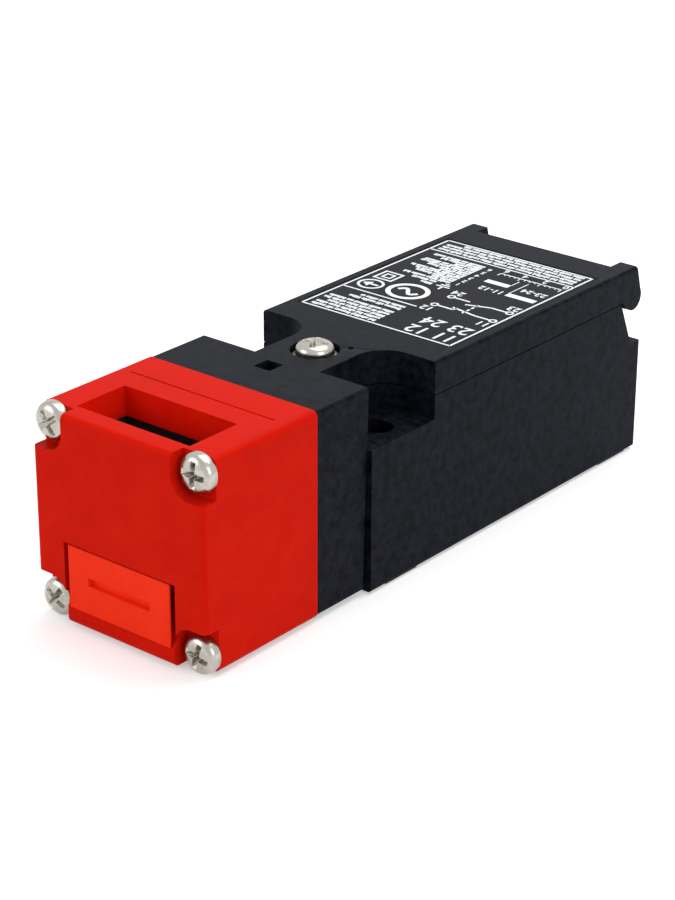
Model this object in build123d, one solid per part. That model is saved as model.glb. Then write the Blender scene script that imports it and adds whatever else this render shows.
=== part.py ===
from build123d import *
import os
from math import cos, radians, sin

# Tongue interlock switch, lying on its mounting face. All sizes are in millimetres.
# +Y runs from the operating head to the conduit end, +Z from the mounting face to the cover.
# The origin is on the mounting face, midway between the two mounting slots.

# Clearances
slide_gap = 0.15  # between a moulded piece and the pocket that it slides or drops into
run_gap = 0.05  # radial, at pins and guided rods
seam = 0.05  # between two faces that meet at a joint
parting_gap = 0.15  # between the case and the cover
thread_gap = 0.35  # radial, from a screw drawn at its core to its thread's full depth
sweep_gap = 0.6  # between the cam's teeth and the head's walls

# Case
body_width = 30.9
split_height = 25.0  # mounting face to the joint between case and cover
block_length = 10.7  # part of the case that carries the head
pocket_length = 13.6
box_length = 50.7  # pockets to the conduit end
pocket_drop = 3.5  # from the joint down to the floor of the pockets
case_wall = 2.2
case_floor = 2.2
belly_lift = 0.3  # height of the underside between the feet
ledge_drop = 7.05  # from the joint down to the ledge at the rear
rear_lean = 3.0  # how far the rear wall leans back from the cover to the ledge
edge_radius = 0.5
neck_width = 11.5
pocket_radius = 4.8
groove_depth = 2.4
groove_mouth = 0.9
groove_rise = 29.8  # where the groove's front wall meets the block's rear face
entry_length = 7.1  # length of the conduit thread
front_wall = 2.0

# Feet and mounting slots
slot_width = 4.3
slot_length = 5.3
slot_inset = 4.95  # from a side wall to the middle of its slot
foot_front = 2.9
foot_length = 6.9
rear_foot_length = 7.0
rear_foot_inset = 1.8

# Head block of the case
block_inset = 0.2  # the block is this much smaller than the head on each side
core_hole_size = 2.85
core_hole_depth = 3.0
core_hole_offset = -0.4
core_hole_setback = 2.6

# Head
head_width = 30.0
head_length = 22.0
head_lift = 0.6
head_radius = 0.9
screw_inset = 2.3
notch_depth = 2.6
notch_inner = 3.15  # from a screw's axis to the notch's side wall
notch_upper = 3.5  # from an upper screw's axis down to the notch's floor
notch_lower = 4.0  # from a lower screw's axis up to the notch's roof
notch_radius = 3.0
score_setback = 5.7
score_width = 0.3
score_depth = 0.15
score_length = 25.4

# Key entries
funnel_width = 19.8
funnel_depth = 3.45
top_lip = 6.8  # from the slot's middle to the sloping lip of the top entry
front_lip = 7.2  # the same at the front entry
funnel_draft = 0.4
key_slot_gap = 3.5
guide_lip = 0.6  # depth of the slot in the head, above its guide
guide_wall = 0.8

# Cam and its carrier
key_offset = 5.3  # from the cam's axis to the middle of a key's tongue
cam_setback = 6.5  # from the cam's axis to the head's rear face
cam_width = 8.0
cam_lobe_radius = 5.6
cam_travel = 2.4
cam_turn = 50.0
cam_dwell = 30.0
cam_ramp = 8.0
cam_tooth_radius = 8.2
cam_tooth_angle = 22.0
cam_tip_gap = 0.6
axle_radius = 1.5
cheek_thickness = 2.0
cheek_radius = 4.2
plate_thickness = 1.3
plate_margin = 0.6
plate_window = 7.2
gasket_thickness = 0.6

# Plunger line
plunger_radius = 2.5
plunger_tip_radius = 0.3
plunger_tip_length = 3.6
bush_radius = 4.2
bush_length = 8.2
tail_radius = 2.0

# Key-hole plug
plug_width = 18.0
plug_rise = 0.1
plug_slot_length = 11.0
plug_slot_width = 1.25
plug_slot_depth = 0.8
plug_slot_drop = 0.15
plug_face_thickness = 1.0
plug_side_relief = 2.8  # from the plug's side in to its body, behind the face
plug_leg_reach = 4.6
plug_leg_width = 1.8
plug_barb = 0.5

# Screws
pan_head_radius = 2.7
pan_head_height = 2.0
head_screw_core = 1.25
head_screw_length = 25.0
cover_screw_core = 1.2
cover_screw_lift = 1.4  # from the plunger's bush up to the screw's tip
recess_arm = 1.7
recess_width = 0.65
recess_depth = 1.1
washer_radius = 3.2
washer_thickness = 0.5

# Cover
cover_height = 4.85
cover_setback = 4.0  # from the conduit end to the cover's rear face
cover_roof = 1.8
tongue_gap = 0.6
counterbore_radius = 3.5
counterbore_depth = 1.3
tongue_screw_shift = 0.5
gate_mark_radius = 0.45
tab_width = 3.1
tab_gap = 0.35
tab_radius = 2.0
tab_reach = 2.6
hinge_setback = 1.9
hinge_lift = 0.3
hinge_pin_radius = 0.8
hinge_pin_length = 2.4
barrel_radius = 1.6
seal_inset = 0.6
seal_width = 0.9
seal_height = 0.8
label_side = 1.75
label_front = 5.5
label_rear = 5.7
label_recess = 0.3
label_thickness = 0.25
label_radius = 0.4

# Conduit entry
conduit_radius = 9.3
conduit_shift = 0.5  # above the middle of the boss
boss_drop = 0.1

# Contact block
wiring_length = 10.1  # chamber left free behind the contact block
lid_gap = 0.1  # between the slider and the block's lid
base_wall = 2.0
slider_width = 6.0
slider_height = 8.0
window_length = 4.6
pole_pitch = 12.5
pole_setback = 4.6
pole_depth = 5.6
pole_inset = 2.0  # from a terminal's axis to the end of its cross pocket
bridge_gap = 0.7
bridge_height = 4.4
bridge_thickness = 0.7
contact_size = 2.4
contact_thickness = 0.5
contact_inset = 1.6  # from a bridge's end to the middle of its contact
strip_thickness = 0.8
strip_width = 3.2
pad_length = 6.4
pad_inset = 0.65
pad_drop = 1.0
terminal_inset = 2.65
terminal_core = 1.25
terminal_radius = 2.6
terminal_height = 1.9
clamp_size = 5.2
clamp_thickness = 0.8
lid_thickness = 1.2
lid_width = 8.4
post_radius = 2.2
post_height = 6.5
block_screw_lift = 3.2  # from the chamber's floor to the screws' tips
block_screw_core = 1.1
block_screw_radius = 2.3
slider_room = 3.0
spring_bore = 1.9
spring_bore_depth = 4.0
spring_wire = 0.4
spring_coils = 3
leaf_width = 3.0
leaf_thickness = 0.25

# Earth terminal
earth_inset = 4.65
earth_setback = 5.0
earth_boss_radius = 3.4
earth_boss_height = 5.0
earth_plate_size = 6.6

# Stations and axes that follow from the sizes
head_front = -(head_length + block_length + pocket_length / 2)
block_front = head_front + head_length
block_rear = block_front + block_length
box_front = block_rear + pocket_length
case_rear = box_front + box_length
cover_rear = case_rear - cover_setback
tongue_front = block_rear + tongue_gap
half_body = body_width / 2
flange_height = split_height - pocket_drop
ledge_height = split_height - ledge_drop
slot_reach = half_body - slot_inset
half_head = head_width / 2
axis_height = head_lift + half_head
head_top = head_lift + head_width
screw_reach = half_head - screw_inset
screw_seat = head_front + notch_depth
cover_base = split_height + parting_gap
cover_face = cover_base + cover_height
cam_axis = block_front - cam_setback
key_slot_width = funnel_width - 2 * funnel_draft
inner_lip = key_slot_gap / 2 + funnel_draft
top_key = cam_axis - key_offset
front_key = axis_height - key_offset
head_cavity = cam_tooth_radius + sweep_gap
half_cavity = key_slot_width / 2
cavity_front = cam_axis - head_cavity
top_wall = half_head - head_cavity
front_wall_depth = cavity_front - head_front
hinge_axis = cover_rear + hinge_setback
hinge_height = split_height + hinge_lift
chamber_front = box_front + front_wall
chamber_rear = case_rear - entry_length
half_chamber = half_body - case_wall
wall_top = chamber_rear + case_wall - 0.4
wall_foot = wall_top + rear_lean
boss_half = half_body - tab_width - tab_gap
boss_height = split_height - boss_drop
conduit_height = (belly_lift + boss_height) / 2 + conduit_shift
chamber_floor = belly_lift + case_floor
washer_seat = cover_face - counterbore_depth
cover_screw_seat = washer_seat + washer_thickness
cover_screw_tip = axis_height + bush_radius + cover_screw_lift
cover_screw_station = (tongue_front + box_front) / 2 - tongue_screw_shift
plunger_tip = cam_axis + cam_lobe_radius + cam_tip_gap
bore_front = block_front + gasket_thickness
bush_rear = bore_front + bush_length
shoulder = bush_rear + cam_travel + sweep_gap
base_front = chamber_front + slide_gap
base_rear = chamber_rear - slide_gap - wiring_length
tail_end = base_front + base_wall + cam_travel + sweep_gap
slider_front = tail_end + seam
slider_rear = base_rear - base_wall - slider_room
base_top = axis_height + slider_height / 2 + lid_gap
half_base = half_chamber - 2 * slide_gap
terminal_reach = half_base - terminal_inset
pad_reach = half_base - pad_inset
half_pole = terminal_reach - pole_inset
half_bridge = half_pole - bridge_gap
contact_reach = half_bridge - contact_inset
closed_pole = base_front + pole_setback
open_pole = closed_pole + pole_pitch
nc_bridge_face = closed_pole + strip_thickness + 2 * contact_thickness + cam_travel + seam
no_bridge_face = open_pole + pole_depth - strip_thickness - 2 * contact_thickness - seam
block_screw_station = (closed_pole + pad_length + open_pole + pole_depth - pad_length) / 2
earth_station = chamber_rear - earth_setback
earth_reach = half_chamber - earth_inset


def block(x0, x1, y0, y1, z0, z1):
    """A block between two corners."""
    size = Box(x1 - x0, y1 - y0, z1 - z0)
    return Pos((x0 + x1) / 2, (y0 + y1) / 2, (z0 + z1) / 2) * size


def across(half, y0, y1, z0, z1):
    """A block centred on the switch's middle plane."""
    return block(-half, half, y0, y1, z0, z1)


def rod(axis, radius, start, end, a, b):
    """A rod along one axis, placed by its other two coordinates in X, Y, Z order."""
    shape = Cylinder(radius, end - start)
    middle = (start + end) / 2
    if axis == "x":
        return Pos(middle, a, b) * Rot(0, 90, 0) * shape
    if axis == "y":
        return Pos(a, middle, b) * Rot(90, 0, 0) * shape
    return Pos(a, b, middle) * shape


def side_prism(points, x0, x1):
    """A prism from X0 to X1, drawn as (Y, Z) points."""
    face = Plane.YZ * make_face(Polyline(*points, close=True))
    return Pos(x0, 0, 0) * extrude(face, x1 - x0, dir=(1, 0, 0))


def turned(points):
    """A piece turned about Z, drawn as (radius, height) points."""
    return revolve(Plane.XZ * make_face(Polyline(*points, close=True)), Axis.Z)


def mirrored(shape):
    """The mirror image across the switch's middle plane."""
    return mirror(shape, about=Plane.YZ)


def parallel(edge, axis):
    """Whether an edge is straight and parallel to one axis."""
    if edge.geom_type != GeomType.LINE:
        return False
    direction = edge.tangent_at(0)
    return abs({"x": direction.X, "y": direction.Y, "z": direction.Z}[axis]) > 0.999


def near(value, target):
    """Whether two coordinates are the same."""
    return abs(value - target) < 1e-4


def coil_spring(radius, start, end):
    """A coil spring along Y at the plunger's height."""
    length = end - start - spring_wire
    path = Helix(length / spring_coils, length, radius)
    section = Plane(path @ 0, z_dir=path % 0) * Rectangle(spring_wire, spring_wire)
    coil = sweep(section, path=path, is_frenet=True)
    return Pos(0, start + spring_wire / 2, axis_height) * Rot(-90, 0, 0) * coil


def cross_recess():
    """The cutter of a cross recess that narrows down below Z = 0."""
    depth = recess_depth
    half_width = recess_width / 2
    top = recess_arm * 1.2
    tip = recess_arm * 0.4
    profile = make_face(Polyline((-top, depth), (top, depth), (tip, -depth), (-tip, -depth), close=True))
    bar = Pos(0, half_width, 0) * extrude(Plane.XZ * profile, recess_width)
    return bar + Rot(0, 0, 90) * bar


def pan_screw(core, length):
    """A pan-head screw along Z, with its seat at Z = 0 and its shank below."""
    points = [
        (0, -length), (core, -length), (core, 0), (pan_head_radius, 0),
        (pan_head_radius, pan_head_height * 0.5), (pan_head_radius * 0.6, pan_head_height),
        (0, pan_head_height),
    ]
    return turned(points) - Pos(0, 0, pan_head_height) * cross_recess()


def slotted_screw(head_radius, head_height, core, length):
    """A cheese-head screw along Z, with its seat at Z = 0 and its shank below."""
    screw = Pos(0, 0, head_height / 2) * Cylinder(head_radius, head_height)
    screw += Pos(0, 0, -length / 2) * Cylinder(core, length)
    slot = Box(2 * head_radius, recess_width, head_height)
    return screw - Pos(0, 0, head_height) * slot


def box_plan(rear, tongue_end):
    """The plan of the box, with the tongue that runs forward between the two pockets."""
    plan = Pos(0, (box_front + rear) / 2) * Rectangle(body_width, rear - box_front)
    plan += Pos(0, (tongue_end + box_front) / 2) * Rectangle(neck_width, box_front - tongue_end)
    corners = [v for v in plan.vertices() if near(v.Y, box_front) and near(abs(v.X), neck_width / 2)]
    return fillet(corners, pocket_radius)


def screw_corners():
    """The four head screws, as X, Z and whether the screw is an upper one."""
    return [(side * screw_reach, axis_height + level * screw_reach, level > 0)
            for side in (-1, 1) for level in (-1, 1)]


def make_case():
    """Moulded case: head block, neck, flange pockets, contact chamber and conduit end."""
    profile = [
        (block_rear, belly_lift), (case_rear, belly_lift), (case_rear, ledge_height),
        (wall_foot, ledge_height), (wall_top, split_height), (block_rear, split_height),
    ]
    case = side_prism(profile, -half_body, half_body)
    long_edges = [e for e in case.edges() if parallel(e, "y") and near(e.center().Z, belly_lift)]
    case = fillet(long_edges, edge_radius)
    slab = Pos(0, block_rear + pocket_length) * Rectangle(body_width, 2 * pocket_length)
    pockets = slab - box_plan(wall_foot, block_rear)
    case -= Pos(0, 0, flange_height) * extrude(pockets, split_height - flange_height)

    half_block = half_head - block_inset
    top = head_top - block_inset
    bottom = head_lift + block_inset
    carrier = across(half_block, block_front, block_rear, bottom, top)
    carrier = fillet([e for e in carrier.edges() if parallel(e, "y")], edge_radius)
    case += carrier
    for side in (-1, 1):
        x0, x1 = sorted((side * (half_body - groove_depth), side * half_body))
        groove = [(block_rear, 0), (block_rear, groove_rise), (block_rear - groove_mouth, 0)]
        case -= side_prism(groove, x0, x1)

    case += across(boss_half, chamber_rear, case_rear, belly_lift, boss_height)
    case += rod("x", barrel_radius, -boss_half, boss_half, hinge_axis, hinge_height)
    half_foot = half_body - edge_radius
    case += across(half_foot, -foot_front, foot_length - foot_front, 0, belly_lift)
    rear_foot = case_rear - rear_foot_inset
    case += across(half_foot, rear_foot - rear_foot_length, rear_foot, 0, belly_lift)

    case -= across(half_chamber, chamber_front, chamber_rear, chamber_floor, split_height)
    case -= rod("y", conduit_radius, chamber_rear, case_rear, 0, conduit_height)
    slots = Pos(slot_reach, 0) * SlotOverall(slot_length, slot_width)
    slot = extrude(slots, split_height)
    case -= slot
    case -= mirrored(slot)

    case -= across(half_head - screw_inset - head_screw_core - 1.0, block_front, bore_front,
                   axis_height - screw_reach + head_screw_core + 1.0,
                   axis_height + screw_reach - head_screw_core - 1.0)
    case -= rod("y", bush_radius + run_gap, bore_front, shoulder + thread_gap, 0, axis_height)
    case -= rod("y", tail_radius + thread_gap, shoulder, chamber_front, 0, axis_height)
    for x, z, upper in screw_corners():
        tip = screw_seat + head_screw_length + 1
        case -= rod("y", head_screw_core + run_gap, block_front, tip, x, z)
    core_y = block_rear - core_hole_setback
    half_core = core_hole_size / 2
    case -= block(core_hole_offset - half_core, core_hole_offset + half_core,
                  core_y - half_core, core_y + half_core, top - core_hole_depth, top)
    bore = cover_screw_core + thread_gap
    case -= rod("z", bore, cover_screw_tip - thread_gap, split_height, 0, cover_screw_station)
    for side in (-1, 1):
        inner = side * (boss_half - hinge_pin_length - slide_gap)
        x0, x1 = sorted((inner, side * boss_half))
        case -= rod("x", hinge_pin_radius + run_gap, x0, x1, hinge_axis, hinge_height)
        post_x = side * terminal_reach
        post_top = chamber_floor + post_height
        case += rod("z", post_radius, chamber_floor, post_top, post_x, block_screw_station)
        bore = block_screw_core + run_gap
        case -= rod("z", bore, chamber_floor + 1, post_top, post_x, block_screw_station)
    case += rod("z", earth_boss_radius, chamber_floor, chamber_floor + earth_boss_height,
                -earth_reach, earth_station)
    return case


def make_case_spans():
    """The case as three nodes that meet face to face: flange, chamber and conduit end."""
    case = make_case()
    stations = (block_front, box_front, chamber_rear, case_rear)
    return [case & across(body_width, front, rear, 0, head_top) for front, rear in zip(stations, stations[1:])]


def seal_ring():
    """The rim seal, a rectangular ring around the chamber."""
    width = 2 * half_chamber + 2 * seal_inset
    length = chamber_rear - chamber_front + 2 * seal_inset
    ring = Rectangle(width + 2 * seal_width, length + 2 * seal_width) - Rectangle(width, length)
    middle = (chamber_front + chamber_rear) / 2
    return Pos(0, middle, cover_base) * extrude(ring, seal_height)


def make_cover():
    """Cover shell with its tongue, seal groove, label recess and hinge tabs."""
    cover = Pos(0, 0, cover_base) * extrude(box_plan(cover_rear, tongue_front), cover_height)
    tab_profile = [
        (wall_top + 0.2, cover_base),
        (hinge_axis - tab_radius * sin(radians(30)), hinge_height - tab_radius * cos(radians(30))),
        (hinge_axis, hinge_height),
        (hinge_axis + tab_radius, hinge_height),
        (cover_rear + tab_reach, cover_face),
        (cover_rear - 1, cover_face),
        (cover_rear - 1, cover_base),
    ]
    tab = side_prism(tab_profile, half_body - tab_width, half_body)
    tab += rod("x", tab_radius, half_body - tab_width, half_body, hinge_axis, hinge_height)
    cover += [tab, mirrored(tab)]
    rim = [e for e in cover.edges() if near(e.center().Z, cover_face) and abs(e.center().X) > half_body - 1]
    cover = fillet([e for e in rim if parallel(e, "y")], edge_radius)
    cover -= across(half_chamber, chamber_front, chamber_rear, cover_base, cover_face - cover_roof)
    cover -= seal_ring()
    pin = rod("x", hinge_pin_radius, half_body - tab_width - hinge_pin_length, half_body - tab_width,
              hinge_axis, hinge_height)
    cover += [pin, mirrored(pin)]
    cover -= rod("z", counterbore_radius, washer_seat, cover_face, 0, cover_screw_station)
    cover -= rod("z", cover_screw_core + thread_gap, cover_base, washer_seat, 0, cover_screw_station)
    cover -= Pos(0, 0, cover_face - label_recess) * extrude(label_plan(slide_gap), label_recess)
    mark_x = counterbore_radius
    cover -= rod("z", gate_mark_radius, cover_face - label_recess, cover_face, mark_x,
                 cover_screw_station + counterbore_radius)
    return cover


def label_plan(gap):
    """The label's outline, or its recess with a gap all round."""
    front = box_front + label_front - gap
    rear = cover_rear - label_rear + gap
    width = body_width - 2 * label_side + 2 * gap
    return Pos(0, (front + rear) / 2) * RectangleRounded(width, rear - front, label_radius)


def make_label():
    """Thin rating plate in the cover's recess."""
    return Pos(0, 0, cover_face - label_recess) * extrude(label_plan(0), label_thickness)


def key_entry(lip, depth):
    """The cutter of a key entry that opens at Z = 0: a tapered mouth, the slot and its guide's seat."""
    mouth = Pos(0, (inner_lip - lip) / 2) * Rectangle(funnel_width, inner_lip + lip)
    slot = Rectangle(key_slot_width, key_slot_gap)
    seat = Rectangle(key_slot_width + 2 * guide_wall, key_slot_gap + 2 * guide_wall)
    neck_end = funnel_depth + guide_lip
    entry = loft([mouth, Pos(0, 0, -funnel_depth) * slot])
    entry += Pos(0, 0, -neck_end) * extrude(slot, guide_lip)
    return entry + Pos(0, 0, -depth) * extrude(seat, depth - neck_end)


def key_guide(depth):
    """A guide under one key entry that opens at Z = 0: a collar with the slot through it."""
    outer = Rectangle(key_slot_width + 2 * guide_wall, key_slot_gap + 2 * guide_wall)
    collar = outer - Rectangle(key_slot_width, key_slot_gap)
    return Pos(0, 0, -depth) * extrude(collar, depth - funnel_depth - guide_lip)


def top_entry(shape):
    """A shape of the key entries, set in the head's top."""
    return Pos(0, top_key, head_top) * shape


def front_entry(shape):
    """A shape of the key entries, set in the head's front."""
    return Pos(0, head_front, front_key) * Rot(90, 0, 0) * shape


def make_head():
    """Operating head: two key entries, the cam's cavity and four notched screw corners."""
    head = across(half_head, head_front, block_front, head_lift, head_top)
    long_edges = [e for e in head.edges() if parallel(e, "y")]
    front_edges = [e for e in head.edges() if near(e.center().Y, head_front)]
    head = fillet(long_edges + front_edges, head_radius)
    for x, z, upper in screw_corners():
        side = 1 if x > 0 else -1
        level = 1 if upper else -1
        drop = notch_upper if upper else notch_lower
        x0, x1 = sorted((x - side * notch_inner, x + side * 2 * notch_inner))
        z0, z1 = sorted((z - level * drop, z + level * 2 * notch_inner))
        notch = block(x0, x1, head_front - 1, screw_seat, z0, z1)
        inner = [e for e in notch.edges() if parallel(e, "y")
                 and near(e.center().X, x - side * notch_inner) and near(e.center().Z, z - level * drop)]
        head -= fillet(inner, notch_radius)
        head -= rod("y", head_screw_core + thread_gap, screw_seat, block_front, x, z)
    head -= across(half_cavity, cavity_front, block_front,
                   axis_height - head_cavity, axis_height + head_cavity)
    recess = half_cavity + plate_margin
    head -= across(recess, block_front - plate_thickness, block_front,
                   axis_height - recess, axis_height + recess)
    head -= top_entry(key_entry(top_lip, top_wall))
    head -= front_entry(key_entry(front_lip, front_wall_depth))
    score = block_front - score_setback
    head -= across(score_length / 2, score - score_width / 2, score + score_width / 2,
                   head_top - score_depth, head_top)
    return head


def make_key_guides():
    """Black guides of the two key slots, pressed in from the cam's cavity."""
    return [top_entry(key_guide(top_wall)), front_entry(key_guide(front_wall_depth))]


def make_plug():
    """Plug of the front key entry: a face on a narrower wedge, with two snap legs."""
    face = head_front - plug_rise
    deep = head_front + funnel_depth - slide_gap
    low = front_key - front_lip + slide_gap
    high = front_key + inner_lip - slide_gap
    plug = side_prism([
        (face, low), (head_front, low), (deep, front_key - key_slot_gap / 2 + slide_gap),
        (deep, high - funnel_draft), (head_front, high), (face, high),
    ], -plug_width / 2, plug_width / 2)
    middle = (low + high) / 2 + plug_slot_drop
    plug -= across(plug_slot_length / 2, face, face + plug_slot_depth,
                   middle - plug_slot_width / 2, middle + plug_slot_width / 2)
    outer = plug_width / 2 - plug_side_relief
    for side in (-1, 1):
        x0, x1 = sorted((side * outer, side * plug_width))
        plug -= block(x0, x1, face + plug_face_thickness, deep, low, high)
    thick = key_slot_gap / 2 - slide_gap
    end = deep + plug_leg_reach
    leg = block(outer - plug_leg_width, outer, deep, end, front_key - thick, front_key + thick)
    barb = extrude(make_face(Polyline(
        (outer, end - 1.6), (outer + plug_barb, end - 1.4), (outer, end), close=True)), 2 * thick)
    leg += Pos(0, 0, front_key - thick) * barb
    return plug + [leg, mirrored(leg)]


def polar(radius, angle):
    """A point about the cam's axis, from the plunger's side towards the cover."""
    return (radius * cos(radians(angle)), radius * sin(radians(angle)))


def make_cam():
    """Rotary cam: a lobe that falls evenly with its turn and two teeth for the key's window."""
    fall = cam_travel / cam_turn
    end_angle = cam_turn + 2
    root = cam_lobe_radius - fall * end_angle
    outline = CenterArc((0, 0), cam_lobe_radius, 0, cam_dwell)
    outline += Line(polar(cam_lobe_radius, cam_dwell), polar(root, cam_dwell + cam_ramp))
    start = cam_dwell + cam_ramp
    for tooth in (180 - cam_turn / 2, 270 - cam_turn / 2):
        first = tooth - cam_tooth_angle / 2
        last = tooth + cam_tooth_angle / 2
        outline += CenterArc((0, 0), root, start, first - start)
        outline += Line(polar(root, first), polar(cam_tooth_radius, first + 3))
        outline += CenterArc((0, 0), cam_tooth_radius, first + 3, last - first - 6)
        outline += Line(polar(cam_tooth_radius, last - 3), polar(root, last))
        start = last
    outline += CenterArc((0, 0), root, start, 360 - end_angle - start)
    steps = [end_angle * (1 - i / 5) for i in range(6)]
    outline += Spline(*[polar(cam_lobe_radius - fall * a, -a) for a in steps])
    cam = Plane.YZ * make_face(outline)
    cam = Pos(-cam_width / 2, cam_axis, axis_height) * extrude(cam, cam_width, dir=(1, 0, 0))
    return cam - rod("x", axle_radius + run_gap, -cam_width, cam_width, cam_axis, axis_height)


def make_cam_frame():
    """Carrier of the cam: a plate with two cheeks that hold the axle."""
    recess = half_cavity + plate_margin - slide_gap
    plate_front = block_front - plate_thickness
    frame = across(recess, plate_front, block_front, axis_height - recess, axis_height + recess)
    window = plate_window / 2
    half_window = cam_width / 2 + thread_gap
    frame -= across(half_window, plate_front, block_front, axis_height - window, axis_height + window)
    inner = cam_width / 2 + slide_gap
    outer = inner + cheek_thickness
    low = axis_height - cheek_radius
    cheek = block(inner, outer, cam_axis, plate_front, low, low + 2 * cheek_radius)
    cheek += rod("x", cheek_radius, inner, outer, cam_axis, axis_height)
    frame += [cheek, mirrored(cheek)]
    return frame - rod("x", axle_radius + run_gap, -outer, outer, cam_axis, axis_height)


def make_cam_axle():
    """Steel pin between the cheeks."""
    reach = cam_width / 2 + slide_gap + cheek_thickness
    return rod("x", axle_radius, -reach, reach, cam_axis, axis_height)


def make_gasket():
    """Rubber sheet in the recess of the head block."""
    reach = screw_reach - head_screw_core - 1.0 - slide_gap
    sheet = across(reach, block_front, bore_front, axis_height - reach, axis_height + reach)
    return sheet - rod("y", plunger_radius + 0.4, block_front, bore_front, 0, axis_height)


def make_bush():
    """Guide bush of the plunger."""
    bush = rod("y", bush_radius, bore_front, bush_rear, 0, axis_height)
    return bush - rod("y", plunger_radius + run_gap, bore_front, bush_rear, 0, axis_height)


def make_plunger():
    """Plunger: cone tip, guided rod and tail."""
    points = [
        (0, plunger_tip), (plunger_tip_radius, plunger_tip),
        (plunger_radius, plunger_tip + plunger_tip_length), (plunger_radius, shoulder),
        (tail_radius, shoulder), (tail_radius, tail_end), (0, tail_end),
    ]
    return Pos(0, 0, axis_height) * Rot(-90, 0, 0) * turned(points)


def make_contact_base():
    """Contact block base: slider channel, two cross pockets and four terminal seats."""
    base = across(half_base, base_front, base_rear, chamber_floor, base_top)
    half_slider = slider_width / 2 + slide_gap
    low = axis_height - slider_height / 2 - slide_gap
    base -= across(half_slider, base_front + base_wall, base_rear - base_wall, low, base_top)
    base -= rod("y", tail_radius + thread_gap, base_front, base_front + base_wall, 0, axis_height)
    pocket_low = axis_height - bridge_height / 2 - 0.8
    for station in (closed_pole, open_pole):
        base -= across(half_pole, station, station + pole_depth, pocket_low, base_top)
    for start in pad_starts():
        for side in (-1, 1):
            x0, x1 = sorted((side * (lid_width / 2), side * half_base))
            base -= block(x0, x1, start, start + pad_length, base_top - pad_drop, base_top)
    for side in (-1, 1):
        x = side * terminal_reach
        base -= rod("z", post_radius + slide_gap, chamber_floor, chamber_floor + post_height + slide_gap,
                    x, block_screw_station)
        base -= rod("z", block_screw_core + run_gap, chamber_floor, base_top, x, block_screw_station)
    return base


def pad_starts():
    """Where the terminal pads of the two poles begin."""
    return (closed_pole, open_pole + pole_depth - pad_length)


def contact_pad(y0, y1):
    """Silver contact pad on a strip or a bridge."""
    half = contact_size / 2
    return block(contact_reach - half, contact_reach + half, y0, y1, axis_height - half, axis_height + half)


def make_fixed_contacts(is_closing_pole):
    """A pair of fixed contacts: upright strip, silver tip and terminal pad on each side."""
    start = pad_starts()[0 if is_closing_pole else 1]
    seat = base_top - pad_drop
    if is_closing_pole:
        strip_y = closed_pole
        tip = (strip_y + strip_thickness, strip_y + strip_thickness + contact_thickness)
    else:
        strip_y = open_pole + pole_depth - strip_thickness
        tip = (strip_y - contact_thickness, strip_y)
    x0 = contact_reach - strip_width / 2
    piece = block(x0, x0 + strip_width, strip_y, strip_y + strip_thickness,
                  axis_height - bridge_height / 2, seat)
    piece += block(x0, pad_reach, start, start + pad_length, seat, seat + strip_thickness)
    piece += contact_pad(*tip)
    pad_middle = start + pad_length / 2
    piece -= rod("z", terminal_core + 0.2, seat, seat + strip_thickness, terminal_reach, pad_middle)
    return [piece, mirrored(piece)]


def make_bridge(is_closing_pole):
    """Moving contact bridge with a silver tip at each end."""
    if is_closing_pole:
        face = nc_bridge_face
        tip = (face - contact_thickness, face)
    else:
        face = no_bridge_face - bridge_thickness
        tip = (no_bridge_face, no_bridge_face + contact_thickness)
    half = bridge_height / 2
    low = axis_height - half
    bridge = across(half_bridge, face, face + bridge_thickness, low, low + bridge_height)
    pad = contact_pad(*tip)
    return bridge + [pad, mirrored(pad)]


def window_span(is_closing_pole):
    """Front and rear of a slider window."""
    if is_closing_pole:
        return (nc_bridge_face, nc_bridge_face + window_length)
    return (no_bridge_face - window_length, no_bridge_face)


def make_slider():
    """Contact slider with a window for each bridge and a seat for the return spring."""
    half = slider_height / 2
    slider = across(slider_width / 2, slider_front, slider_rear, axis_height - half, axis_height + half)
    opening = bridge_height / 2 + 0.1
    for is_closing in (True, False):
        front, rear = window_span(is_closing)
        slider -= across(slider_width, front, rear, axis_height - opening, axis_height + opening)
    return slider - rod("y", spring_bore, slider_rear - spring_bore_depth, slider_rear, 0, axis_height)


def make_slider_spring():
    """Return spring between the slider and the rear wall of the contact block."""
    return coil_spring(spring_bore - spring_wire, slider_rear - spring_bore_depth, base_rear - base_wall)


def make_leaf_spring(is_closing_pole):
    """Bowed leaf that presses a bridge against its side of the window."""
    front, rear = window_span(is_closing_pole)
    if is_closing_pole:
        crown, ends = front + bridge_thickness, rear
    else:
        crown, ends = rear - bridge_thickness, front
    inward = 1 if ends > crown else -1
    half = slider_width / 2 - slide_gap
    outer = ThreePointArc((-half, ends), (0, crown), (half, ends))
    inner = ThreePointArc((half - leaf_thickness, ends), (0, crown + inward * leaf_thickness),
                          (leaf_thickness - half, ends))
    outline = outer + Line(outer @ 1, inner @ 0) + inner + Line(inner @ 1, outer @ 0)
    leaf = extrude(make_face(outline), leaf_width)
    return Pos(0, 0, axis_height - leaf_width / 2) * leaf


def make_lid():
    """Lid over the slider channel."""
    return across(lid_width / 2, base_front + 0.4, base_rear - 0.4, base_top, base_top + lid_thickness)


def terminal_places():
    """Centres of the four terminal pads."""
    return [(side * terminal_reach, start + pad_length / 2) for start in pad_starts() for side in (-1, 1)]


def clamp_screw():
    """A terminal screw with its captive square clamp, threaded into a plate with its top at Z = 0."""
    length = clamp_thickness + strip_thickness
    screw = slotted_screw(terminal_radius, terminal_height, terminal_core, length)
    clamp = Box(clamp_size, clamp_size, clamp_thickness)
    return Pos(0, 0, clamp_thickness) * screw + Pos(0, 0, clamp_thickness / 2) * clamp


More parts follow.
